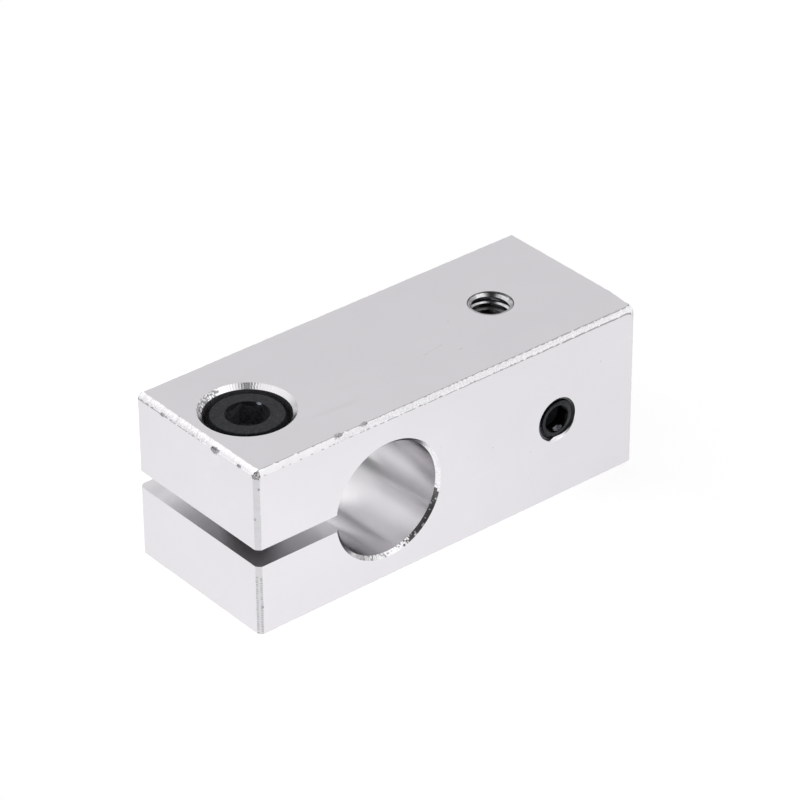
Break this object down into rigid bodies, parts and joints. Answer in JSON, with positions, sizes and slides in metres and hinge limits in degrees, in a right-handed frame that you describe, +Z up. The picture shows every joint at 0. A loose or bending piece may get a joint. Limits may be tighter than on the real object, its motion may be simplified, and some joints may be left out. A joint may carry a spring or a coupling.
{
  "type": "shaft clamp",
  "caption": "Split aluminium block: a slit cross bore, closed by a recessed cap screw, grips a through shaft, and a blind end bore with a set screw holds another shaft at right angles to it.",
  "frame": {"origin": "middle of the block's base", "axes": "+X along the block from the slit end to the bored end, +Z up towards the clamp screw's head, the face with the set screw at -Y"},
  "size_m": [0.051, 0.02, 0.02],
  "materials": {
    "block_aluminium": "satin, bright worn edges",
    "screw_steel": "black oxide"
  },
  "bodies": {
    "block": {"clamp_body": "block_aluminium"},
    "clamp_screw": {"clamp_screw": "screw_steel"},
    "side_set_screw": {"side_set_screw": "screw_steel"}
  },
  "joints": [
    {"name": "clamp_screw_travel", "type": "slide", "parent": "block", "child": "clamp_screw", "axis": [0, 0, 1], "range_m": [0, 0.0056]},
    {"name": "set_screw_travel", "type": "slide", "parent": "block", "child": "side_set_screw", "axis": [0, -1, 0], "range_m": [-0.0008, 0.0016]}
  ]
}
